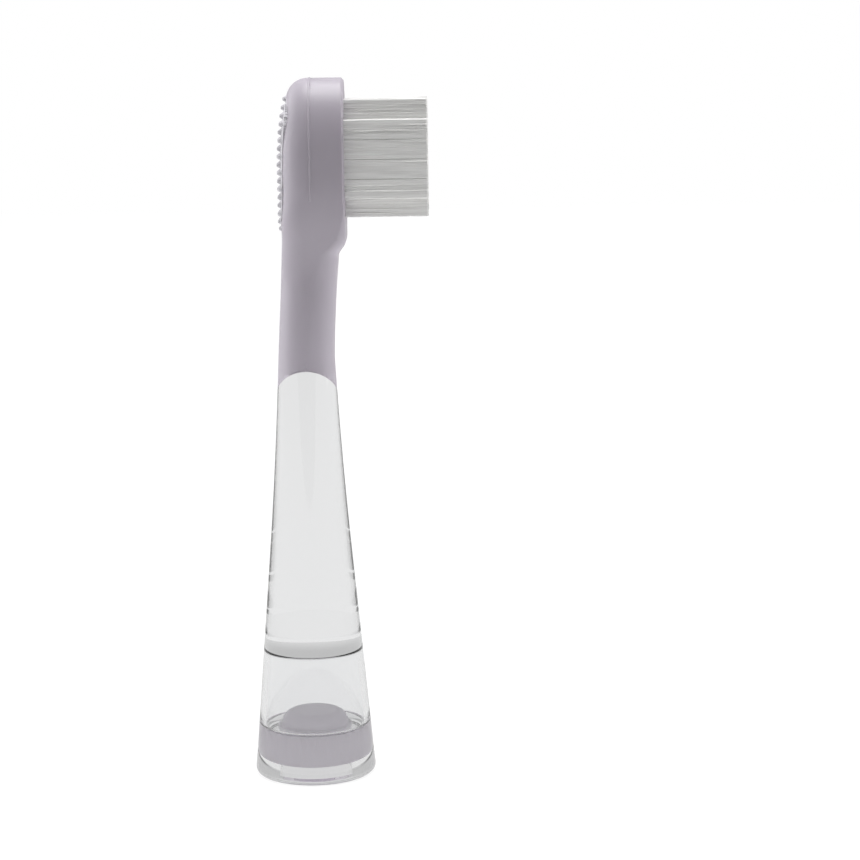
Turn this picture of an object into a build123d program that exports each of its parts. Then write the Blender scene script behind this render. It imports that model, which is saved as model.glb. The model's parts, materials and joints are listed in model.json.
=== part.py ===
# Replacement head of an electric toothbrush, in millimetres.
# A clear stem stands on its foot rim at z = 0 with its axis on Z. A lilac neck and brush plate
# are moulded over its top, with the bristles pointing along +X and a soft nubbed pad on the back.
# A clear plug closes the cavity of the foot, and the lilac coupling in it takes the handle's
# drive shaft from below.
import os
from math import sqrt

from build123d import *

os.makedirs("parts", exist_ok=True)

total_height = 83.5

# Clear stem: a cone that bends upright towards the neck, open below and solid above its cavity
foot_radius = 7.3
foot_edge = 0.5
bend_height = 28.0
bend_radius = 4.87
neck_height = 50.5
neck_radius = 3.36
stem_wall = 0.7
cavity_height = 15.3
cavity_edge = 0.4

# Joint of stem and neck: an arch across the width, with a tenon inside
joint_drop = 1.15
joint_radius = 3.8
tenon_radius = 1.6
tenon_length = 7.0
tenon_chamfer = 0.4
bond_gap = 0.02

# Coupling in the foot, and the clear plug that holds it
coupling_recess = 1.75
plug_recess = 0.4
plug_top = 6.0
plug_gap = 0.03
core_radius = 4.5
core_taper = 0.5
dome_radius = 4.05
dome_top = 7.65
dome_edge = 1.55
socket_radius = 2.3
socket_depth = 5.2
key_width = 1.0
key_depth = 0.45

# Neck: round at the joint, then blended station by station into the section of the plate
neck_stations = 34
round_share = 0.995
neck_front = 4.25
shoulder_drop = 4.3
shoulder_length = 1.9
flare_length = 11.0

# Brush plate, an egg in front view with a crowned back
plate_length = 14.5
head_width = 11.2
head_front = 5.05
head_back = 2.49
head_lower_radius = 4.9
head_taper_length = 10.8
back_edge = 2.5
front_edge = 0.3
crown_length = 11.0
crown_lean = 1.28
parting_depth = 1.0
parting_length = 14.0
parting_width = 0.18
parting_rise = 0.04

# Tufts and the staples that hold them
field_drop = 9.35
tuft_rows = 6
tuft_row_pitch = 2.28
tuft_column_pitch = 2.25
middle_columns = 4
end_columns = 2
tuft_gap = 0.08
tuft_corner = 0.7
bristle_length = 9.75
hole_radius = 0.97
hole_depth = 2.8
root_gap = 0.02
anchor_lift = 0.4
anchor_length = 1.2
anchor_width = 2.1
anchor_thickness = 0.25

# Tongue cleaner, a pad let into the back
pad_margin = 1.85
pad_lower_radius = 3.2
pad_taper_length = 9.25
pad_floor = 1.1
pad_gap = 0.03
nub_step_up = 0.945
nub_step_across = 1.12
nub_radius = 0.42
nub_tip_radius = 0.14
nub_height = 0.4
nub_root = 0.2
nub_margin = 0.1

# Places that follow from the sizes above
joint_middle = neck_height - joint_drop - joint_radius
plate_foot = total_height - plate_length
shoulder_top = plate_foot - shoulder_drop
shoulder_foot = shoulder_top - shoulder_length
flare_foot = plate_foot - flare_length
head_upper_height = total_height - head_width / 2
head_lower_height = head_upper_height - head_taper_length
crown_start = total_height - crown_length
parting_foot = total_height - parting_length
field_middle = total_height - field_drop
pad_upper_radius = head_width / 2 - pad_margin
pad_lower_height = head_upper_height - pad_taper_length
far = 2 * foot_radius


def flank_radius(height):
    """Outer radius of the stem at a height: straight up to the bend, then an arc tangent to it."""
    slope = (foot_radius - bend_radius) / bend_height
    if height <= bend_height:
        return foot_radius - slope * height
    rise = neck_height - bend_height
    draw = bend_radius - neck_radius
    arc_radius = (rise**2 + draw**2) * sqrt(1 + slope**2) / (2 * (slope * rise - draw))
    arc_across = bend_radius + arc_radius / sqrt(1 + slope**2)
    arc_height = bend_height + arc_radius * slope / sqrt(1 + slope**2)
    return arc_across - sqrt(arc_radius**2 - (height - arc_height) ** 2)


def cavity_radius(height):
    """Radius of the cavity's straight wall at a height."""
    mouth = flank_radius(0) - stem_wall
    ceiling = flank_radius(cavity_height) - stem_wall
    return mouth + (ceiling - mouth) * height / cavity_height


def back_depth(height):
    """How far the crowned back lies behind the stem's axis at a height."""
    rise = max(height - crown_start, 0)
    full_rise = total_height - crown_start
    crown_radius = (full_rise**2 + crown_lean**2) / (2 * crown_lean)
    return head_back - crown_radius + sqrt(crown_radius**2 - rise**2)


def stem_section():
    """Half section of the stem's full outer form."""
    bend = (bend_radius, bend_height)
    with BuildSketch(Plane.XZ) as section:
        with BuildLine():
            Polyline((neck_radius, neck_height), (0, neck_height), (0, 0), (foot_radius, 0), bend)
            TangentArc(bend, (neck_radius, neck_height), tangent=(bend_radius - foot_radius, bend_height))
        make_face()
        fillet(section.vertices().sort_by(Axis.X)[-1], foot_edge)
    return section.sketch


def arch_section(clearance):
    """Side view of everything below the arched joint."""
    with BuildSketch(Plane.XZ) as section:
        with Locations((0, joint_middle)):
            Circle(joint_radius + clearance)
            Rectangle(2 * far, joint_middle + far, align=(Align.CENTER, Align.MAX))
    return section.sketch


def egg(depth, upper_radius, lower_radius, lower_height):
    """Front view of the brush plate or the pad: the hull of a large and a smaller circle."""
    with BuildSketch(Plane.YZ.offset(depth)) as outline:
        with Locations((0, head_upper_height)):
            Circle(upper_radius)
        with Locations((0, lower_height)):
            Circle(lower_radius)
        make_hull()
    return outline.sketch


def crowned_prism(outline, foot):
    """A front view outline carried from the crowned back to the bristle face, cut off at a height."""
    with BuildPart() as prism:
        extrude(outline, amount=head_back + head_front)
        with BuildSketch(Plane.XZ):
            with BuildLine():
                Line((-head_back, foot), (-head_back, crown_start))
                TangentArc(
                    (-head_back, crown_start),
                    (crown_lean - head_back, total_height),
                    tangent=(0, 1),
                )
                Polyline(
                    (crown_lean - head_back, total_height),
                    (head_front, total_height),
                    (head_front, foot),
                    (-head_back, foot),
                )
            make_face()
        extrude(amount=head_width, both=True, mode=Mode.INTERSECT)
    return prism.part


def ease(height, start, end):
    """Smooth rise from 0 at one height to 1 at another."""
    share = min(max((height - start) / (end - start), 0), 1)
    return share * share * (3 - 2 * share)


def neck_section(height):
    """Cross section between the round joint and the plate, as a rectangle with rounded corners."""
    slope = (head_width / 2 - head_lower_radius) / (head_upper_height - head_lower_height)
    plate_half = head_lower_radius + (plate_foot - head_lower_height) * slope
    plate_half = plate_half / sqrt(1 - slope**2)
    base = flank_radius(min(height, neck_height))
    bend = min(max((height - neck_height) / (shoulder_top - neck_height), 0), 1)
    squaring = ease(height, flare_foot, plate_foot)
    half = base + (plate_half - base) * squaring
    back = base + (head_back - base) * bend
    front = base + (neck_front - base) * bend**1.5
    front = front + (head_front - front) * ease(height, shoulder_foot, shoulder_top)
    round_corner = round_share * min(half, (back + front) / 2)
    with BuildSketch(Plane.XY.offset(height)) as section:
        with Locations(((front - back) / 2, 0)):
            Rectangle(front + back, 2 * half)
        corners = section.vertices().group_by(Axis.X)
        fillet(corners[0], round_corner + (back_edge - round_corner) * squaring)
        corners = section.vertices().group_by(Axis.X)
        fillet(corners[-1], round_corner + (front_edge - round_corner) * squaring)
    return section.sketch


def tuft_spots():
    """Front view places of the tufts, row by row from the bottom, shorter rows at both ends."""
    spots = []
    for row in range(tuft_rows):
        columns = end_columns if row in (0, tuft_rows - 1) else middle_columns
        height = field_middle + (row - (tuft_rows - 1) / 2) * tuft_row_pitch
        for column in range(columns):
            spots.append(((column - (columns - 1) / 2) * tuft_column_pitch, height))
    return spots


def nub_spots():
    """Front view places of the nubs: staggered rows that stay inside the pad's outline."""
    upper_reach = pad_upper_radius - nub_margin - nub_radius
    lower_reach = pad_lower_radius - nub_margin - nub_radius
    lowest = pad_lower_height - lower_reach
    highest = head_upper_height + upper_reach
    rows = int((highest - lowest) / nub_step_up) + 1
    first = (lowest + highest - (rows - 1) * nub_step_up) / 2
    spots = []
    for row in range(rows):
        height = first + row * nub_step_up
        share = (height - pad_lower_height) / (head_upper_height - pad_lower_height)
        share = min(max(share, 0), 1)
        centre = pad_lower_height + share * (head_upper_height - pad_lower_height)
        radius = lower_reach + share * (upper_reach - lower_reach)
        reach = sqrt(max(radius**2 - (height - centre) ** 2, 0))
        shift = (row % 2) / 2
        count = int(reach / nub_step_across + shift)
        for step in range(-count, count + 1 if shift == 0 else count):
            spots.append(((step + shift) * nub_step_across, height))
    return spots


tufts = tuft_spots()

# The stem: cavity below, arched crown and tenon above
with BuildPart() as clear_stem:
    revolve(stem_section(), axis=Axis.Z)
    with BuildSketch(Plane.XZ) as cavity:
        with BuildLine():
            Polyline(
                (0, 0),
                (cavity_radius(0), 0),
                (cavity_radius(cavity_height), cavity_height),
                (0, cavity_height),
                close=True,
            )
        make_face()
        fillet(cavity.vertices().group_by(Axis.Y)[-1].sort_by(Axis.X)[-1], cavity_edge)
    revolve(axis=Axis.Z, mode=Mode.SUBTRACT)
    extrude(arch_section(0), amount=far, both=True, mode=Mode.INTERSECT)
    with BuildSketch(Plane.XY.offset(joint_middle)):
        Circle(tenon_radius)
    extrude(amount=joint_radius + tenon_length)
    chamfer(clear_stem.edges().group_by(Axis.Z)[-1], tenon_chamfer)

# The plug: a ring that seats in the taper of the cavity, with a stepped bore for the coupling
with BuildPart() as foot_plug:
    with BuildSketch(Plane.XZ):
        with BuildLine():
            Polyline(
                (core_radius + plug_gap, plug_recess),
                (cavity_radius(plug_recess) - plug_gap, plug_recess),
                (cavity_radius(plug_top) - plug_gap, plug_top),
                (dome_radius + plug_gap, plug_top),
                (core_radius + plug_gap, plug_top - core_taper),
                close=True,
            )
        make_face()
    revolve(axis=Axis.Z)

# The coupling: a core that fills the plug's bore, with a dome over the socket
with BuildPart() as shaft_coupling:
    with BuildSketch(Plane.XZ) as section:
        with BuildLine():
            Polyline(
                (0, coupling_recess),
                (core_radius, coupling_recess),
                (core_radius, plug_top - core_taper),
                (dome_radius, plug_top),
                (dome_radius, dome_top),
                (0, dome_top),
                close=True,
            )
        make_face()
        fillet(section.vertices().group_by(Axis.Y)[-1].sort_by(Axis.X)[-1], dome_edge)
    revolve(axis=Axis.Z)
    with BuildSketch(Plane.XY.offset(coupling_recess)):
        Circle(socket_radius)
        Rectangle(socket_radius + key_depth, key_width, align=(Align.MAX, Align.CENTER))
    extrude(amount=socket_depth, mode=Mode.SUBTRACT)

# Neck and brush plate in one piece, with the sockets for tenon, tufts, staples and pad
with BuildPart() as head_and_neck:
    plate = egg(-head_back, head_width / 2, head_lower_radius, head_lower_height)
    add(crowned_prism(plate, plate_foot))
    flat_back = head_and_neck.faces().filter_by(Axis.X).sort_by(Axis.X)[0]
    crown = head_and_neck.faces().filter_by(GeomType.CYLINDER).sort_by(Axis.X)[0]
    back_loop = flat_back.edges() + crown.edges()
    back_loop = [edge for edge in back_loop if back_loop.count(edge) == 1]
    foot_edges = head_and_neck.edges().group_by(Axis.Z)[0]
    fillet([edge for edge in back_loop if edge not in foot_edges], back_edge)
    front_loop = head_and_neck.faces().sort_by(Axis.X)[-1].edges()
    chamfer(front_loop - head_and_neck.edges().group_by(Axis.Z)[0], front_edge)
    stations = [
        neck_section(joint_middle + step / neck_stations * (plate_foot - joint_middle))
        for step in range(neck_stations)
    ]
    loft(stations + [head_and_neck.faces().sort_by(Axis.Z)[0]])
    split(bisect_by=Plane.YZ.offset(head_front), keep=Keep.BOTTOM)
    extrude(arch_section(bond_gap), amount=far, both=True, mode=Mode.SUBTRACT)
    with BuildSketch(Plane.XY.offset(joint_middle)):
        Circle(tenon_radius + bond_gap)
    extrude(amount=joint_radius + tenon_length + bond_gap, mode=Mode.SUBTRACT)
    with BuildSketch(Plane.YZ.offset(head_front)):
        with Locations(*tufts):
            Circle(hole_radius)
    extrude(amount=-hole_depth, mode=Mode.SUBTRACT)
    with BuildSketch(Plane.YZ.offset(head_front - hole_depth + anchor_lift)):
        with Locations(*tufts):
            Rectangle(anchor_width, anchor_thickness)
    extrude(amount=anchor_length, mode=Mode.SUBTRACT)
    with BuildPart(mode=Mode.PRIVATE) as parting:
        for reach, mode in ((parting_rise, Mode.ADD), (-parting_rise, Mode.SUBTRACT)):
            line = egg(
                parting_depth,
                head_width / 2 + reach,
                head_lower_radius + reach,
                head_lower_height,
            )
            extrude(line, amount=parting_width, mode=mode)
        split(bisect_by=Plane.XY.offset(parting_foot), keep=Keep.TOP)
    add(parting.part)
    recess = egg(-pad_floor, pad_upper_radius, pad_lower_radius, pad_lower_height)
    extrude(recess, amount=-head_back, mode=Mode.SUBTRACT)

# The soft pad: the plate's own back surface, cut to the recess, with rows of blunt nubs
with BuildPart() as tongue_cleaner:
    outline = egg(-head_back, pad_upper_radius - pad_gap, pad_lower_radius - pad_gap, pad_lower_height)
    add(crowned_prism(outline, 0))
    split(bisect_by=Plane.YZ.offset(-pad_floor), keep=Keep.BOTTOM)
    with BuildPart(mode=Mode.PRIVATE) as nub:
        with BuildSketch():
            RegularPolygon(nub_radius, 6)
        with BuildSketch(Plane.XY.offset(nub_root + nub_height)):
            RegularPolygon(nub_tip_radius, 6)
        loft(ruled=True)
    seats = [
        Plane((nub_root - back_depth(height), across, height), x_dir=(0, 1, 0), z_dir=(-1, 0, 0))
        for across, height in nub_spots()
    ]
    with Locations(*seats):
        add(nub.part)

# Twenty staples, pressed across the folded tufts
with BuildPart() as tuft_anchors:
    with BuildSketch(Plane.YZ.offset(head_front - hole_depth + anchor_lift)):
        with Locations(*tufts):
            Rectangle(anchor_width, anchor_thickness)
    extrude(amount=anchor_length)

pieces = {
    "clear_stem": clear_stem,
    "foot_plug": foot_plug,
    "shaft_coupling": shaft_coupling,
    "head_and_neck": head_and_neck,
    "tongue_cleaner": tongue_cleaner,
    "tuft_anchors": tuft_anchors,
}

# Each tuft: round in its hole, spreading to nearly fill its square of the field at the trim
root_radius = hole_radius - root_gap
trim_size = min(tuft_row_pitch, tuft_column_pitch) - tuft_gap
for number, spot in enumerate(tufts, start=1):
    with BuildPart() as tuft:
        with BuildSketch(Plane.YZ.offset(head_front)):
            with Locations(spot):
                Circle(root_radius)
        extrude(amount=-hole_depth)
        with BuildSketch(Plane.YZ.offset(head_front)):
            with Locations(spot):
                RectangleRounded(2 * root_radius, 2 * root_radius, tuft_corner)
        with BuildSketch(Plane.YZ.offset(head_front + bristle_length)):
            with Locations(spot):
                RectangleRounded(trim_size, trim_size, tuft_corner)
        loft(ruled=True)
        with BuildSketch(Plane.YZ.offset(head_front - hole_depth + anchor_lift)):
            with Locations(spot):
                Rectangle(anchor_width, anchor_thickness)
        extrude(amount=anchor_length, mode=Mode.SUBTRACT)
    pieces[f"tuft_{number:02d}"] = tuft

for name, piece in pieces.items():
    piece.part.label = name
    export_step(piece.part, f"parts/{name}.step")
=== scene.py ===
import json
import math
import random

import bpy
from mathutils import Matrix, Vector

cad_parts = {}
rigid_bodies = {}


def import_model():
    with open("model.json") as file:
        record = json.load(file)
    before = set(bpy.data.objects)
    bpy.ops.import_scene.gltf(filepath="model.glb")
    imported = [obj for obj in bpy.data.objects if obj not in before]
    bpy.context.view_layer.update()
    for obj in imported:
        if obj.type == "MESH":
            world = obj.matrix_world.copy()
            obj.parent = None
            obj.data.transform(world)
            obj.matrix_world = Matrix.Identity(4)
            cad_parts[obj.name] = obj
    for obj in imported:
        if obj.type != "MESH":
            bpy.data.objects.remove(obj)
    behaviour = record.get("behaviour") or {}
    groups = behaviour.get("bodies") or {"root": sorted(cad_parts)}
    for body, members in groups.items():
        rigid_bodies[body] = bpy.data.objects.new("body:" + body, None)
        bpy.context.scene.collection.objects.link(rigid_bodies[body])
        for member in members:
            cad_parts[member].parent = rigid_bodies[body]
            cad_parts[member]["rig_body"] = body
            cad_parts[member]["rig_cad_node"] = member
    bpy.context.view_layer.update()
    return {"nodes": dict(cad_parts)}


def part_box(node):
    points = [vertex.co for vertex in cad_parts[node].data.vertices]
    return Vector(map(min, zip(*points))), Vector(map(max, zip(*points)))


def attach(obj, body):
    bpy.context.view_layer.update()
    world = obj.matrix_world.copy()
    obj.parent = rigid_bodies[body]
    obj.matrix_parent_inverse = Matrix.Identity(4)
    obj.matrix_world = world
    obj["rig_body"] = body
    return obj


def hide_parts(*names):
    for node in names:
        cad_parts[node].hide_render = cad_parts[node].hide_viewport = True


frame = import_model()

nodes = frame["nodes"]
mm = 0.001

# Neck and brush plate: one lilac injection moulding over the stem, satin and a little translucent.
# A copy of its solid is drawn to the plate's oval seen from the front, with a softer back edge.
lilac_light = (0.45, 0.415, 0.47, 1)
lilac_dark = (0.42, 0.387, 0.44, 1)
lilac_satin = (0.33, 0.42)
lilac_marks = (90, 2600, 0.01 * mm)
same_place = 0.0005 * mm
crease = math.radians(25)


def moulding_marks():
    """Cloudy flow marks and a fine satin grain, for every moulded surface of the head."""
    group = bpy.data.node_groups.new("moulding_marks", "ShaderNodeTree")
    sockets = group.interface
    for name, kind in (
        ("Vector", "NodeSocketVector"),
        ("Cloud Scale", "NodeSocketFloat"),
        ("Grain Scale", "NodeSocketFloat"),
    ):
        sockets.new_socket(name, in_out="INPUT", socket_type=kind)
    for name in ("Cloud", "Grain"):
        sockets.new_socket(name, in_out="OUTPUT", socket_type="NodeSocketFloat")
    tree = group.nodes
    entry = tree.new("NodeGroupInput")
    leave = tree.new("NodeGroupOutput")
    for label, detail in (("Cloud", 3.0), ("Grain", 2.0)):
        noise = tree.new("ShaderNodeTexNoise")
        noise.inputs["Detail"].default_value = detail
        group.links.new(entry.outputs["Vector"], noise.inputs["Vector"])
        group.links.new(entry.outputs[f"{label} Scale"], noise.inputs["Scale"])
        group.links.new(noise.outputs["Fac"], leave.inputs[label])
    return group


def moulded_material(name, dark, light, satin, marks_size):
    """A moulded plastic whose tone, gloss and grain follow the moulding marks."""
    cloud_scale, grain_scale, grain_height = marks_size
    material = bpy.data.materials.new(name)
    material.use_nodes = True
    tree = material.node_tree.nodes
    link = material.node_tree.links.new
    shader = tree["Principled BSDF"]
    place = tree.new("ShaderNodeTexCoord")
    marks = tree.new("ShaderNodeGroup")
    marks.node_tree = bpy.data.node_groups.get("moulding_marks") or moulding_marks()
    marks.inputs["Cloud Scale"].default_value = cloud_scale
    marks.inputs["Grain Scale"].default_value = grain_scale
    link(place.outputs["Object"], marks.inputs["Vector"])
    tone = tree.new("ShaderNodeMix")
    tone.data_type = "RGBA"
    tone.inputs["A"].default_value = dark
    tone.inputs["B"].default_value = light
    link(marks.outputs["Cloud"], tone.inputs["Factor"])
    link(tone.outputs["Result"], shader.inputs["Base Color"])
    gloss = tree.new("ShaderNodeMapRange")
    gloss.inputs["To Min"].default_value = satin[0]
    gloss.inputs["To Max"].default_value = satin[1]
    link(marks.outputs["Cloud"], gloss.inputs["Value"])
    link(gloss.outputs["Result"], shader.inputs["Roughness"])
    bump = tree.new("ShaderNodeBump")
    bump.inputs["Strength"].default_value = 0.25
    bump.inputs["Distance"].default_value = grain_height
    link(marks.outputs["Grain"], bump.inputs["Height"])
    link(bump.outputs["Normal"], shader.inputs["Normal"])
    return material


lilac = moulded_material("lilac_plastic", lilac_dark, lilac_light, lilac_satin, lilac_marks)
lilac_shader = lilac.node_tree.nodes["Principled BSDF"]
lilac_shader.inputs["Subsurface Weight"].default_value = 0.15
lilac_shader.inputs["Subsurface Radius"].default_value = (1.0, 0.8, 1.0)
lilac_shader.inputs["Subsurface Scale"].default_value = 0.6 * mm


def finish_copy(name, node):
    """A copy of a CAD node with its loose triangles joined and its curved faces shaded smooth."""
    bpy.ops.object.select_all(action="DESELECT")
    piece = nodes[node].copy()
    piece.data = nodes[node].data.copy()
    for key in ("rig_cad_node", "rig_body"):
        if key in piece:
            del piece[key]
    piece.name = name
    piece.parent = None
    bpy.context.scene.collection.objects.link(piece)
    piece.select_set(True)
    bpy.context.view_layer.objects.active = piece
    bpy.ops.object.mode_set(mode="EDIT")
    bpy.ops.mesh.select_all(action="SELECT")
    bpy.ops.mesh.remove_doubles(threshold=same_place)
    bpy.ops.object.mode_set(mode="OBJECT")
    bpy.ops.object.shade_smooth_by_angle(angle=crease)
    return piece


def coat_with(piece, material):
    """Gives a piece its one material and its body."""
    piece.data.materials.clear()
    piece.data.materials.append(material)
    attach(piece, "root")


head_top = 83.5 * mm
head_half = 5.6 * mm
lower_half = 4.9 * mm
taper_length = 10.8 * mm
plate_foot = 69.0 * mm
flare_length = 11.0 * mm
upper_middle = head_top - head_half
side_slope = (head_half - lower_half) / taper_length
flare_foot = plate_foot - flare_length
neck_half = 3.36 * mm
oval_middle = 74.4 * mm
oval_foot = 59.5 * mm
oval_low = 72.0 * mm
oval_rise = head_top - oval_middle
back_edge = 2.5 * mm
soft_edge = 3.5 * mm
soft_low = 66.0 * mm
soft_full = 71.0 * mm
back_flat = 2.49 * mm
crown_length = 11.0 * mm
crown_drop = 1.28 * mm
crown_start = head_top - crown_length
crown_radius = (crown_length**2 + crown_drop**2) / (2 * crown_drop)
cut_step = 0.45 * mm
wall_skin = 0.02 * mm
merge_reach = 0.004 * mm
wall_foot = 64.0 * mm
wall_turn = math.cos(math.radians(30))
joint_top = 52.0 * mm
sliver = 0.001 * mm * mm
front_edge = 0.29 * mm
plate_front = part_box("head_and_neck")[1].x


def ease(height, start, end):
    """Smooth rise from 0 at one height to 1 at another."""
    share = min(max((height - start) / (end - start), 0), 1)
    return share * share * (3 - 2 * share)


def solid_half(height):
    """Half width of the CAD solid at a height below its round end."""
    at_foot = head_half - side_slope * (upper_middle - plate_foot)
    if height > plate_foot:
        return head_half - side_slope * (upper_middle - height)
    return neck_half + (at_foot - neck_half) * ease(height, flare_foot, plate_foot)


def oval_share(height):
    """How much narrower or wider the real oval is than the CAD solid at a height."""
    if height > upper_middle:
        oval_end = oval_middle - oval_rise
        circle_end = upper_middle - head_half
        return head_half / oval_rise * math.sqrt((height - oval_end) / (height - circle_end))
    if height > oval_middle:
        rise = (height - oval_middle) / oval_rise
        return head_half * math.sqrt(1 - rise**2) / solid_half(height)
    oval = neck_half + (head_half - neck_half) * ease(height, oval_foot, oval_low)
    return oval / solid_half(height)


def side_normal(spot):
    """Outward direction of the oval's side wall at a place on it."""
    side = math.copysign(1, spot.y)
    rise = (spot.z - oval_middle) / oval_rise
    if rise > 0:
        flat = math.sqrt(max(1 - rise**2, 0))
        return Vector((0, side * flat, rise * head_half / oval_rise)).normalized()
    share = min(max((spot.z - oval_foot) / (oval_low - oval_foot), 0), 1)
    slope = (head_half - neck_half) * 6 * share * (1 - share) / (oval_low - oval_foot)
    return Vector((0, side, -slope)).normalized()


def back_face(height):
    """Where the crowned back lies at a height."""
    rise = max(height - crown_start, 0)
    return -back_flat + crown_radius - math.sqrt(crown_radius**2 - rise**2)


def edge_depth(inset, radius):
    """Depth of a rounded edge of a radius at a distance in from the side."""
    inset = min(max(inset, 0), radius)
    return radius - math.sqrt(radius**2 - (radius - inset) ** 2)


def side_inset(spot):
    """How far a place lies in from the side of the CAD plate, seen from the front."""
    if spot.z > upper_middle:
        return head_half - math.hypot(spot.y, spot.z - upper_middle)
    return solid_half(spot.z) - abs(spot.y)


def soften(spot):
    """How much deeper the real plate's softly rounded back edge lies than the solid's there."""
    inset = side_inset(spot)
    depth = spot.x - back_face(spot.z)
    softer = edge_depth(inset, soft_edge) - edge_depth(inset, back_edge)
    if depth > back_edge:
        full = plate_front - back_face(spot.z)
        softer = (soft_edge - back_edge) * max(1 - (depth - back_edge) / (full - back_edge), 0)
        softer *= inset < wall_skin
    if spot.z > upper_middle:
        softer *= spot.y**2 / max(spot.y**2 + (spot.z - upper_middle) ** 2, wall_skin**2)
    return softer * ease(spot.z, soft_low, soft_full)


# The solid's parting ridge is laid flat first, because the bead takes its place.
head = finish_copy("head_and_neck_moulding", "head_and_neck")
for vertex in head.data.vertices:
    spot = vertex.co
    inset = side_inset(spot)
    if inset < 0 and spot.z > upper_middle:
        spot.y *= head_half / (head_half - inset)
        spot.z = upper_middle + (spot.z - upper_middle) * head_half / (head_half - inset)
    elif inset < 0 and spot.z > plate_foot:
        spot.y *= solid_half(spot.z) / abs(spot.y)
bpy.ops.object.mode_set(mode="EDIT")
bpy.ops.mesh.select_all(action="DESELECT")
bpy.ops.object.mode_set(mode="OBJECT")
for vertex in head.data.vertices:
    vertex.select = vertex.co.z > flare_foot
bpy.ops.object.mode_set(mode="EDIT")
bpy.ops.mesh.remove_doubles(threshold=merge_reach)
bpy.ops.mesh.dissolve_degenerate(threshold=merge_reach)
# Level cuts give the plain walls enough vertices to bend with the oval.
cuts = int((head_top - flare_foot) / cut_step)
for cut in range(1, cuts):
    bpy.ops.mesh.select_all(action="SELECT")
    bpy.ops.mesh.bisect(plane_co=(0, 0, flare_foot + cut * cut_step), plane_no=(0, 0, 1))
bpy.ops.object.mode_set(mode="OBJECT")
on_wall = set()
for vertex in head.data.vertices:
    spot = vertex.co
    if spot.z < flare_foot:
        continue
    inset = side_inset(spot)
    if spot.z > wall_foot and inset < wall_skin:
        wall_start = back_face(spot.z) + back_edge - wall_skin
        if wall_start < spot.x < plate_front - front_edge:
            on_wall.add(vertex.index)
    spot.x += soften(spot)
    spot.y *= oval_share(spot.z)
# The edge at the clear stem stays sharp, and the bent side walls are shaded by their true slope.
beside = {}
for face in head.data.polygons:
    for key in face.edge_keys:
        beside.setdefault(key, []).append(face.normal)
for edge in head.data.edges:
    turns = beside.get(edge.key, [])
    if head.data.vertices[edge.vertices[0]].co.z < joint_top and len(turns) == 2:
        edge.use_edge_sharp = turns[0].dot(turns[1]) < wall_turn
shading = [Vector(corner.vector) for corner in head.data.corner_normals]
for face in head.data.polygons:
    for corner, index in zip(face.loop_indices, face.vertices):
        if index in on_wall:
            out = side_normal(head.data.vertices[index].co)
            if face.area < sliver or out.dot(face.normal) > wall_turn:
                shading[corner] = out
head.data.normals_split_custom_set(shading)
coat_with(head, lilac)
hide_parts("head_and_neck")

# Parting line: the fine bead where the two halves of the neck's mould met, over the plate's edge.
# It is one half-sunk round strip, turned over the plate's round end and drawn down both sides.
bead_radius = 0.13 * mm
bead_sink = 0.03 * mm
bead_place = 1.09 * mm
bead_low = 69.5 * mm
bead_sides = 8
bead_turns = 48
bead_steps = 12
bead_level = 0.001 * mm
bead_crease = math.radians(60)
bpy.ops.object.select_all(action="DESELECT")
bpy.ops.mesh.primitive_circle_add(
    vertices=bead_sides,
    radius=bead_radius,
    location=(bead_place, head_half - bead_sink, upper_middle),
)
bead = bpy.context.object
bead.name = "parting_bead"
bpy.ops.object.transform_apply(location=True, rotation=True, scale=True)
bpy.ops.object.mode_set(mode="EDIT")
bpy.ops.mesh.select_all(action="SELECT")
bpy.ops.mesh.spin(
    steps=bead_turns, angle=math.pi, center=(bead_place, 0, upper_middle), axis=(-1, 0, 0)
)
for side in (1, -1):
    bpy.ops.mesh.select_all(action="DESELECT")
    bpy.ops.object.mode_set(mode="OBJECT")
    for vertex in bead.data.vertices:
        level = abs(vertex.co.z - upper_middle) < bead_level
        vertex.select = level and vertex.co.y * side > 0
    bpy.ops.object.mode_set(mode="EDIT")
    drop = (upper_middle - bead_low) / bead_steps
    for step in range(bead_steps):
        bpy.ops.mesh.extrude_region_move(
            TRANSFORM_OT_translate={"value": (0, -side * side_slope * drop, -drop)}
        )
    bpy.ops.mesh.edge_face_add()
bpy.ops.mesh.select_all(action="SELECT")
bpy.ops.mesh.normals_make_consistent(inside=False)
bpy.ops.object.mode_set(mode="OBJECT")
for vertex in bead.data.vertices:
    vertex.co.y *= oval_share(vertex.co.z)
bpy.ops.object.shade_smooth_by_angle(angle=bead_crease)
coat_with(bead, lilac)

# Shaft coupling: the lilac core with a low dome, set in the plug, that takes the drive shaft.
# The clear foot keeps light from it, so its colour is painted paler than the neck's, a painted
# lift of light, to look alike.
core_light = (0.9, 0.855, 0.925, 1)
core_dark = (0.86, 0.815, 0.885, 1)
coupling = finish_copy("shaft_coupling_moulding", "shaft_coupling")
painted_pale_core = moulded_material("lilac_core", core_dark, core_light, lilac_satin, lilac_marks)
coat_with(coupling, painted_pale_core)
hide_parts("shaft_coupling")

# Clear stem and its plug: two clear injection mouldings welded into one, hollow above the plug.
# They are turned here as one smooth skin, bonded to coupling and neck, and cut to the arch.
foot_radius = 7.3 * mm
foot_edge = 0.8 * mm
bend_radius = 4.87 * mm
bend_height = 28.0 * mm
neck_radius = 3.36 * mm
neck_height = 50.5 * mm
stem_wall = 0.7 * mm
cavity_height = 15.3 * mm
cavity_edge = 0.4 * mm
plug_top = 6.0 * mm
plug_foot = 0.4 * mm
weld_fillet = 0.35 * mm
core_radius = 4.5 * mm
core_taper = 0.5 * mm
dome_radius = 4.05 * mm
bond = 0.02 * mm
joint_middle = 45.55 * mm
joint_radius = 3.84 * mm
tenon_radius = 1.6 * mm
tenon_top = 56.35 * mm
tenon_sides = 48
cutter_half = 8.0 * mm
cutter_top = 54.0 * mm
draft_degrees = 4
foot_draw = 0.045 * mm
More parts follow.
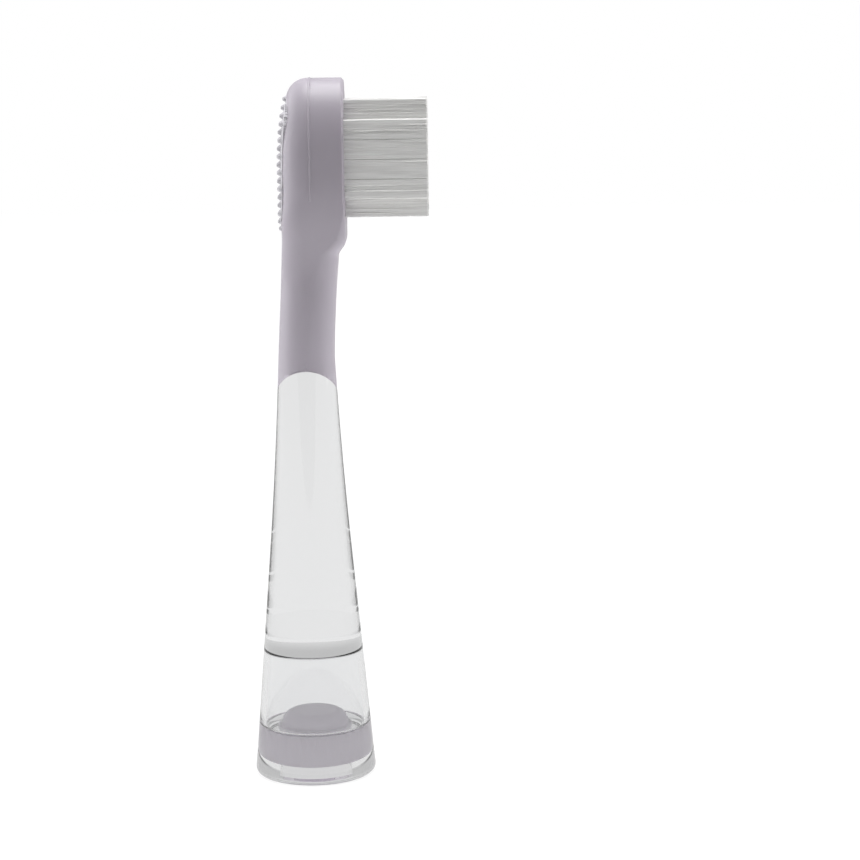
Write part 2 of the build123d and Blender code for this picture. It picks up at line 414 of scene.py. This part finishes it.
edge_blend = 1.6 * foot_edge
edge_steps = 8
fillet_steps = 10
wall_steps = 7
flank_steps = 48
arch_steps = 64
lathe_steps = 128
clear_tint = (0.975, 0.98, 0.985, 1)
clear_bright = (0.99, 0.992, 0.995, 1)
clear_gloss = (0.0, 0.03)
clear_marks = (60, 900, 0.001 * mm)


def flank(height):
    """Outer radius of the stem at a height: a cone, then an arc that bends upright."""
    slope = (foot_radius - bend_radius) / bend_height
    if height <= bend_height:
        return foot_radius - slope * height
    rise = neck_height - bend_height
    draw = bend_radius - neck_radius
    stretch = math.sqrt(1 + slope**2)
    arc_radius = (rise**2 + draw**2) * stretch / (2 * (slope * rise - draw))
    across = bend_radius + arc_radius / stretch
    level = bend_height + arc_radius * slope / stretch
    return across - math.sqrt(arc_radius**2 - (height - level) ** 2)


def draw_line(name, points):
    """A line of edges through points, drawn by extruding one vertex, left open in edit mode."""
    bpy.ops.object.select_all(action="DESELECT")
    bpy.ops.mesh.primitive_plane_add(size=1 * mm, location=points[0])
    piece = bpy.context.object
    piece.name = name
    bpy.ops.object.transform_apply(location=True, rotation=True, scale=True)
    bpy.ops.object.mode_set(mode="EDIT")
    bpy.ops.mesh.merge(type="CENTER")
    for here, there in zip(points, points[1:]):
        step = Vector(there) - Vector(here)
        bpy.ops.mesh.extrude_vertices_move(TRANSFORM_OT_translate={"value": step})
    bpy.ops.mesh.select_all(action="SELECT")
    return piece


def arc(centre, radius, start, end, steps):
    """Points of an arc in the XZ plane, in degrees from +X towards +Z."""
    turns = [math.radians(start + (end - start) * step / steps) for step in range(steps + 1)]
    return [
        (centre[0] + radius * math.cos(turn), 0, centre[1] + radius * math.sin(turn))
        for turn in turns
    ]


rim_inner = foot_radius - stem_wall
ceiling_radius = flank(cavity_height) - stem_wall


def cavity_wall(height):
    """Inner radius of the hollow foot at a height."""
    return rim_inner + (ceiling_radius - rim_inner) * height / cavity_height


skin = [(0, 0, cavity_height)]
edge_middle = (ceiling_radius - cavity_edge, cavity_height - cavity_edge)
skin += arc(edge_middle, cavity_edge, 90, draft_degrees, edge_steps)
weld_top = plug_top + weld_fillet
for step in range(wall_steps - 1, 0, -1):
    height = weld_top + (cavity_height - cavity_edge - weld_top) * step / wall_steps
    skin.append((cavity_wall(height), 0, height))
fillet_middle = (cavity_wall(weld_top) - weld_fillet, weld_top)
skin += arc(fillet_middle, weld_fillet, 0, -90, fillet_steps)
skin.append((dome_radius - bond, 0, plug_top))
skin.append((core_radius - bond, 0, plug_top - core_taper))
skin.append((core_radius - bond, 0, plug_foot))
skin.append((cavity_wall(plug_foot), 0, plug_foot))
skin.append((rim_inner, 0, 0))
foot_middle = (foot_radius - foot_edge - foot_draw, foot_edge)
skin += arc(foot_middle, foot_edge, -90, draft_degrees, edge_steps)
for step in range(1, flank_steps + 1):
    height = edge_blend + (neck_height - edge_blend) * step / flank_steps
    skin.append((flank(height), 0, height))
skin.append((0, 0, neck_height))
stem = draw_line("clear_stem_moulding", skin)
bpy.ops.mesh.spin(steps=lathe_steps, angle=2 * math.pi, center=(0, 0, 0), axis=(0, 0, 1))
bpy.ops.mesh.select_all(action="SELECT")
bpy.ops.mesh.remove_doubles(threshold=same_place)
bpy.ops.mesh.normals_make_consistent(inside=False)
bpy.ops.object.mode_set(mode="OBJECT")

above_arch = arc((0, joint_middle), joint_radius, 180, 0, arch_steps)
above_arch += [(cutter_half, 0, joint_middle), (cutter_half, 0, cutter_top)]
above_arch += [(-cutter_half, 0, cutter_top), (-cutter_half, 0, joint_middle), above_arch[0]]
cutter = draw_line("arch_cutter", above_arch)
bpy.ops.mesh.remove_doubles(threshold=same_place)
bpy.ops.mesh.edge_face_add()
bpy.ops.transform.translate(value=(0, -cutter_half, 0))
bpy.ops.mesh.extrude_region_move(TRANSFORM_OT_translate={"value": (0, 2 * cutter_half, 0)})
bpy.ops.mesh.select_all(action="SELECT")
bpy.ops.mesh.normals_make_consistent(inside=False)
bpy.ops.object.mode_set(mode="OBJECT")

bpy.ops.object.select_all(action="DESELECT")
bpy.ops.mesh.primitive_cylinder_add(
    vertices=tenon_sides,
    radius=tenon_radius,
    depth=tenon_top - joint_middle,
    location=(0, 0, (tenon_top + joint_middle) / 2),
)
tenon = bpy.context.object


def join_by(piece, tool, operation):
    """Cuts or joins a piece with a tool body, then removes the tool."""
    bpy.ops.object.select_all(action="DESELECT")
    piece.select_set(True)
    bpy.context.view_layer.objects.active = piece
    cut = piece.modifiers.new("cut", "BOOLEAN")
    cut.object = tool
    cut.operation = operation
    cut.solver = "EXACT"
    bpy.ops.object.modifier_apply(modifier=cut.name)
    bpy.data.objects.remove(tool)


join_by(stem, cutter, "DIFFERENCE")
join_by(stem, tenon, "UNION")
bpy.ops.object.shade_smooth_by_angle(angle=crease)

clear = moulded_material("clear_plastic", clear_tint, clear_bright, clear_gloss, clear_marks)
clear_shader = clear.node_tree.nodes["Principled BSDF"]
clear_shader.inputs["Transmission Weight"].default_value = 1.0
clear_shader.inputs["IOR"].default_value = 1.53
coat_with(stem, clear)
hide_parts("clear_stem", "foot_plug")

# Tongue cleaner: a soft pad moulded into the back of the plate, with rows of blunt round nubs.
# The nubs are cones with rounded tips, set over the pad's own, and the pad follows the soft edge.
pad_light = (0.60, 0.585, 0.62, 1)
pad_dark = (0.55, 0.535, 0.57, 1)
pad_matt = (0.5, 0.62)
pad_marks = (160, 4000, 0.01 * mm)
nub_root = 0.43 * mm
nub_tip = 0.19 * mm
nub_height = 0.45 * mm
nub_round = 0.07 * mm
nub_sides = 14
nub_crease = math.radians(40)
tip_area = 0.1 * mm * mm
straight_back = -0.9999
tip_facing = -0.99
pad_skin = 0.5 * mm
pad = finish_copy("tongue_cleaner_pad", "tongue_cleaner")


def flat_islands(mesh):
    """Groups of joined faces that look straight back, as lists of polygons."""
    islands = []
    for face in mesh.polygons:
        if face.normal.x > straight_back:
            continue
        touching = [group for group in islands if group[0] & set(face.vertices)]
        corners = set(face.vertices).union(*(group[0] for group in touching))
        members = [face] + [member for group in touching for member in group[1]]
        islands = [group for group in islands if group not in touching] + [(corners, members)]
    return [members for corners, members in islands]


bpy.ops.object.select_all(action="DESELECT")
bpy.ops.mesh.primitive_cone_add(
    vertices=nub_sides,
    radius1=nub_root,
    radius2=nub_tip,
    depth=nub_height,
    location=(nub_height / 2, 0, 0),
    rotation=(0, -math.pi / 2, 0),
)
nub = bpy.context.object
bpy.ops.object.transform_apply(location=True, rotation=True, scale=True)
bpy.ops.object.mode_set(mode="EDIT")
bpy.ops.mesh.select_all(action="DESELECT")
bpy.ops.object.mode_set(mode="OBJECT")
for face in nub.data.polygons:
    face.select = face.normal.x < tip_facing
bpy.ops.object.mode_set(mode="EDIT")
bpy.ops.mesh.bevel(offset=nub_round, segments=3, affect="EDGES")
bpy.ops.object.mode_set(mode="OBJECT")
bpy.ops.object.shade_smooth_by_angle(angle=nub_crease)
caps = []
for island in flat_islands(pad.data):
    area = sum(face.area for face in island)
    if area < tip_area:
        cap = nub.copy()
        cap.data = nub.data.copy()
        cap.data.transform(
            Matrix.Translation(sum((face.center * face.area for face in island), Vector()) / area)
        )
        bpy.context.scene.collection.objects.link(cap)
        caps.append(cap)
bpy.data.objects.remove(nub)
bpy.ops.object.select_all(action="DESELECT")
for cap in caps:
    cap.select_set(True)
pad.select_set(True)
bpy.context.view_layer.objects.active = pad
bpy.ops.object.join()
for vertex in pad.data.vertices:
    if vertex.co.x < back_face(vertex.co.z) + pad_skin:
        vertex.co.x += soften(vertex.co)
soft = moulded_material("soft_pad", pad_dark, pad_light, pad_matt, pad_marks)
coat_with(pad, soft)
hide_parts("tongue_cleaner")

# Staples: small brass plates pressed across the folded tufts, deep in the holes.
# They are stamped from flat strip, so the metal shows a fine drawn grain.
brass_light = (0.66, 0.52, 0.27, 1)
brass_dark = (0.55, 0.42, 0.2, 1)
brass_satin = (0.25, 0.4)
brass_marks = (800, 6000, 0.002 * mm)
staples = nodes["tuft_anchors"]
brass = moulded_material("staple_metal", brass_dark, brass_light, brass_satin, brass_marks)
brass.node_tree.nodes["Principled BSDF"].inputs["Metallic"].default_value = 1.0
staples.data.materials.clear()
staples.data.materials.append(brass)

# Tufts: bundles of end-rounded nylon filaments, folded in their holes and trimmed flat.
# One filament is copied round a packed middle into four bundles, and each tuft is a turned copy.
filament_radius = 0.075 * mm
filament_sides = 6
filaments = 150
root_half = 1.13 * mm
trim_half = 1.14 * mm
middle_half = 1.13 * mm
middle_edge = 0.1 * mm
middle_drop = 0.12 * mm
root_sink = 0.7 * mm
trim_ripple = 0.05 * mm
tip_stray = 0.05 * mm
bow = 0.04 * mm
bend_shares = (0.25, 0.5, 0.75, 0.985)
tip_share = 0.995
tip_narrow = 0.45
squareness = 0.75
bundle_kinds = 4
quarter_turns = 4
nylon_light = (0.95, 0.948, 0.936, 1)
nylon_dark = (0.83, 0.827, 0.815, 1)
trim_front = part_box("tuft_01")[1].x
filament_length = trim_front - plate_front + root_sink
rng = random.Random(20)

bpy.ops.object.select_all(action="DESELECT")
bpy.ops.mesh.primitive_cylinder_add(
    vertices=filament_sides,
    radius=filament_radius,
    depth=filament_length,
    end_fill_type="TRIFAN",
    location=(filament_length / 2, 0, 0),
    rotation=(0, math.pi / 2, 0),
)
filament = bpy.context.object
bpy.ops.object.transform_apply(location=True, rotation=True, scale=True)
bpy.ops.object.mode_set(mode="EDIT")
for share in bend_shares:
    bpy.ops.mesh.select_all(action="SELECT")
    bpy.ops.mesh.bisect(plane_co=(filament_length * share, 0, 0), plane_no=(1, 0, 0))
bpy.ops.object.mode_set(mode="OBJECT")
for vertex in filament.data.vertices:
    if vertex.co.x > tip_share * filament_length:
        vertex.co.y *= tip_narrow
        vertex.co.z *= tip_narrow
bpy.ops.object.shade_smooth()

middle_length = filament_length - middle_drop
bpy.ops.object.select_all(action="DESELECT")
bpy.ops.mesh.primitive_cube_add(size=1, location=(middle_length / 2, 0, 0))
middle = bpy.context.object
middle.scale = (middle_length, 2 * middle_half, 2 * middle_half)
bpy.ops.object.transform_apply(location=True, rotation=True, scale=True)
bpy.ops.object.mode_set(mode="EDIT")
bpy.ops.mesh.select_all(action="SELECT")
bpy.ops.mesh.bevel(offset=middle_edge, segments=3, affect="EDGES")
bpy.ops.object.mode_set(mode="OBJECT")
bpy.ops.object.shade_smooth()


def bundle(number):
    """One tuft at the origin: filaments round a packed middle, from the root to a square trim."""
    strands = [middle.copy()]
    strands[0].data = middle.data.copy()
    bpy.context.scene.collection.objects.link(strands[0])
    for strand in range(filaments):
        reach = math.sqrt((strand + 0.5) / filaments)
        turn = strand * math.pi * (3 - math.sqrt(5)) + number
        corner = max(abs(math.cos(turn)), abs(math.sin(turn))) ** squareness
        root = Vector((0, math.cos(turn), math.sin(turn))) * reach * root_half / corner
        tip = root * trim_half / root_half
        tip += Vector((0, rng.gauss(0, tip_stray), rng.gauss(0, tip_stray)))
        curve = Vector((0, rng.gauss(0, bow), rng.gauss(0, bow)))
        trim = 1 - rng.random() * trim_ripple / filament_length
        piece = filament.copy()
        piece.data = filament.data.copy()
        for vertex in piece.data.vertices:
            share = vertex.co.x / filament_length
            vertex.co.x *= trim
            vertex.co += root + (tip - root) * share + curve * 4 * share * (1 - share)
        bpy.context.scene.collection.objects.link(piece)
        strands.append(piece)
    bpy.ops.object.select_all(action="DESELECT")
    for piece in strands:
        piece.select_set(True)
    bpy.context.view_layer.objects.active = strands[0]
    bpy.ops.object.join()
    return strands[0]


bundles = [bundle(number) for number in range(bundle_kinds)]
bpy.data.objects.remove(filament)
bpy.data.objects.remove(middle)

nylon = bpy.data.materials.new("bristle_nylon")
nylon.use_nodes = True
tree = nylon.node_tree.nodes
link = nylon.node_tree.links.new
shader = tree["Principled BSDF"]
shader.inputs["Roughness"].default_value = 0.35
place = tree.new("ShaderNodeTexCoord")
along = tree.new("ShaderNodeMapping")
along.inputs["Scale"].default_value = (0.02, 1, 1)
strand_tone = tree.new("ShaderNodeTexNoise")
strand_tone.inputs["Scale"].default_value = 6500
strands_apart = tree.new("ShaderNodeMapRange")
strands_apart.inputs["From Min"].default_value = 0.35
strands_apart.inputs["From Max"].default_value = 0.65
furrows = tree.new("ShaderNodeBump")
furrows.inputs["Strength"].default_value = 0.5
furrows.inputs["Distance"].default_value = 0.06 * mm
tone = tree.new("ShaderNodeMix")
tone.data_type = "RGBA"
tone.inputs["A"].default_value = nylon_dark
tone.inputs["B"].default_value = nylon_light
link(place.outputs["Object"], along.inputs["Vector"])
link(along.outputs["Vector"], strand_tone.inputs["Vector"])
link(strand_tone.outputs["Fac"], strands_apart.inputs["Value"])
link(strands_apart.outputs["Result"], tone.inputs["Factor"])
link(strands_apart.outputs["Result"], furrows.inputs["Height"])
link(furrows.outputs["Normal"], shader.inputs["Normal"])
link(tone.outputs["Result"], shader.inputs["Base Color"])
glow = tree.new("ShaderNodeBsdfTranslucent")
through = tree.new("ShaderNodeMixShader")
through.inputs["Fac"].default_value = 0.1
link(tone.outputs["Result"], glow.inputs["Color"])
link(shader.outputs["BSDF"], through.inputs[1])
link(glow.outputs["BSDF"], through.inputs[2])
link(through.outputs["Shader"], tree["Material Output"].inputs["Surface"])

tuft_names = sorted(name for name in nodes if name.startswith("tuft_") and name != "tuft_anchors")
for count, name in enumerate(tuft_names):
    low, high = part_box(name)
    tuft = bundles[count % bundle_kinds].copy()
    tuft.data = tuft.data.copy()
    tuft.name = f"{name}_filaments"
    turn = Matrix.Rotation(math.pi / 2 * rng.randrange(quarter_turns), 4, "X")
    seat = Vector((plate_front - root_sink, (low.y + high.y) / 2, (low.z + high.z) / 2))
    tuft.data.transform(Matrix.Translation(seat) @ turn)
    bpy.context.scene.collection.objects.link(tuft)
    coat_with(tuft, nylon)
    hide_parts(name)
for piece in bundles:
    bpy.data.objects.remove(piece)

# Table: a pale studio floor whose bounce colour is painted darker towards the camera, painted
# shade for the head's front, with a painted glow round the foot.
# Camera, mirror and glass rays see it near white, and it keeps the head's shadow.
floor_half = 0.9


def ramp(start, end, low, high):
    """A smooth step from one level to another, in the tree at hand."""
    step = tree.new("ShaderNodeMapRange")
    step.interpolation_type = "SMOOTHSTEP"
    step.inputs["From Min"].default_value = start
    step.inputs["From Max"].default_value = end
    step.inputs["To Min"].default_value = low
    step.inputs["To Max"].default_value = high
    return step


def math_node(operation):
    """A math node for one operation, in the tree at hand."""
    node = tree.new("ShaderNodeMath")
    node.operation = operation
    return node


bpy.ops.object.select_all(action="DESELECT")
bpy.ops.mesh.primitive_plane_add(size=2 * floor_half, location=(0, 0, 0))
floor = bpy.context.object
floor.name = "table"
table = bpy.data.materials.new("table_white")
table.use_nodes = True
tree = table.node_tree.nodes
link = table.node_tree.links.new
tree.remove(tree["Principled BSDF"])
paths = tree.new("ShaderNodeLightPath")
seen = math_node("MAXIMUM")
mirrored = math_node("MAXIMUM")
place = tree.new("ShaderNodeTexCoord")
split = tree.new("ShaderNodeSeparateXYZ")
# Painted shade: towards the camera the floor's bounce colour darkens, to shade the head's front.
depth = ramp(-0.2, -0.02, 0.15, 0.8)
bare = tree.new("ShaderNodeBsdfDiffuse")
shade = tree.new("ShaderNodeBsdfDiffuse")
shade.inputs["Color"].default_value = (0.15, 0.15, 0.15, 1)
reach = tree.new("ShaderNodeVectorMath")
reach.operation = "LENGTH"
# Painted glow: the floor round the foot shines for bounce paths, though it is no lamp.
painted_glow_level = ramp(0.0, 0.09, 1.9, 0.0)
near = tree.new("ShaderNodeEmission")
under = tree.new("ShaderNodeAddShader")
white = tree.new("ShaderNodeEmission")
white_level = tree.new("ShaderNodeMapRange")
white_level.inputs["To Min"].default_value = 0.58
white_level.inputs["To Max"].default_value = 0.88
lit = tree.new("ShaderNodeAddShader")
choose = tree.new("ShaderNodeMixShader")
link(paths.outputs["Is Camera Ray"], seen.inputs[0])
link(paths.outputs["Transmission Depth"], mirrored.inputs[0])
link(paths.outputs["Is Glossy Ray"], mirrored.inputs[1])
link(mirrored.outputs["Value"], seen.inputs[1])
link(place.outputs["Object"], split.inputs["Vector"])
link(split.outputs["Y"], depth.inputs["Value"])
link(depth.outputs["Result"], bare.inputs["Color"])
link(paths.outputs["Is Camera Ray"], white_level.inputs["Value"])
link(white_level.outputs["Result"], white.inputs["Strength"])
link(shade.outputs["BSDF"], lit.inputs[0])
link(white.outputs["Emission"], lit.inputs[1])
link(seen.outputs["Value"], choose.inputs["Fac"])
link(place.outputs["Object"], reach.inputs[0])
link(reach.outputs["Value"], painted_glow_level.inputs["Value"])
link(painted_glow_level.outputs["Result"], near.inputs["Strength"])
link(bare.outputs["BSDF"], under.inputs[0])
link(near.outputs["Emission"], under.inputs[1])
link(under.outputs["Shader"], choose.inputs[1])
link(lit.outputs["Shader"], choose.inputs[2])
link(choose.outputs["Shader"], tree["Material Output"].inputs["Surface"])
floor.data.materials.append(table)

# Sky: a soft studio room, brightest at the sides and dim on the camera's side.
# The camera sees it white, and paths that have passed through clear plastic see a plain pale wall.
sky = bpy.data.worlds.new("studio_sky")
bpy.context.scene.world = sky
sky.use_nodes = True
tree = sky.node_tree.nodes
link = sky.node_tree.links.new
back = tree["Background"]
place = tree.new("ShaderNodeTexCoord")
split = tree.new("ShaderNodeSeparateXYZ")
room = ramp(-0.8, 0.05, 0.08, 1.17)
far = ramp(0.1, 0.9, 1.0, 0.4)
sides = math_node("MULTIPLY")
wall = ramp(0.0, 0.3, 0.74, 0.5)
paths = tree.new("ShaderNodeLightPath")
inside = math_node("MINIMUM")
inside.inputs[1].default_value = 1.0
clear_path = math_node("SUBTRACT")
clear_path.use_clamp = True
soft_or_clear = tree.new("ShaderNodeMix")
brightness = tree.new("ShaderNodeMix")
brightness.inputs["B"].default_value = 1.0
link(place.outputs["Generated"], split.inputs["Vector"])
link(split.outputs["Y"], room.inputs["Value"])
link(split.outputs["Z"], wall.inputs["Value"])
link(paths.outputs["Transmission Depth"], inside.inputs[0])
link(inside.outputs["Value"], clear_path.inputs[0])
link(paths.outputs["Is Diffuse Ray"], clear_path.inputs[1])
link(split.outputs["Y"], far.inputs["Value"])
link(room.outputs["Result"], sides.inputs[0])
link(far.outputs["Result"], sides.inputs[1])
link(sides.outputs["Value"], soft_or_clear.inputs["A"])
link(wall.outputs["Result"], soft_or_clear.inputs["B"])
link(clear_path.outputs["Value"], soft_or_clear.inputs["Factor"])
link(soft_or_clear.outputs["Result"], brightness.inputs["A"])
link(paths.outputs["Is Camera Ray"], brightness.inputs["Factor"])
link(brightness.outputs["Result"], back.inputs["Strength"])
back.inputs["Color"].default_value = (1, 1, 1, 1)

# Lamps: three square softboxes, one at each side and one above, turned to the middle of the head.
# They are hidden from paths inside the clear plastic, which would show them as spots.
softbox_size = 0.4
aim_height = 45.0 * mm


def softbox(name, place, power):
    """A square lamp turned towards the middle of the head."""
    lamp = bpy.data.lights.new(name, "AREA")
    lamp.size = softbox_size
    lamp.energy = power
    stand = bpy.data.objects.new(name, lamp)
    stand.location = place
    aim = Vector((0, 0, aim_height)) - Vector(place)
    stand.rotation_euler = aim.to_track_quat("-Z", "Y").to_euler()
    stand.visible_transmission = False
    bpy.context.scene.collection.objects.link(stand)


softbox("softbox_left", (-0.42, 0.12, 0.2), 0.8)
softbox("softbox_right", (0.46, 0.12, 0.2), 0.4)
softbox("softbox_top", (0.05, -0.02, 0.6), 2.7)

# Camera: in front of the head and a little above its top, looking along +Y and slightly down.
# The picture is 860 pixels square, and the head leans a hair to the left in it.
picture_width = 860
focal_pixels = 2550
sensor = 36.0
camera_spot = (14.5 * mm, -300 * mm, 90.8 * mm)
look_down = 9.3
lean_degrees = -0.91
camera_data = bpy.data.cameras.new("camera")
camera_data.sensor_width = sensor
camera_data.lens = focal_pixels / picture_width * sensor
camera = bpy.data.objects.new("camera", camera_data)
tilt = math.radians(90 - look_down)
lean = math.radians(lean_degrees)
place = Matrix.Translation(camera_spot)
camera.matrix_world = place @ Matrix.Rotation(tilt, 4, "X") @ Matrix.Rotation(lean, 4, "Z")
camera_data.clip_start = 0.01
bpy.context.scene.collection.objects.link(camera)
bpy.context.scene.camera = camera
bpy.context.scene.view_settings.view_transform = "Standard"
bpy.context.scene.cycles.max_bounces = 24
bpy.context.scene.cycles.diffuse_bounces = 12
bpy.context.scene.cycles.transmission_bounces = 20
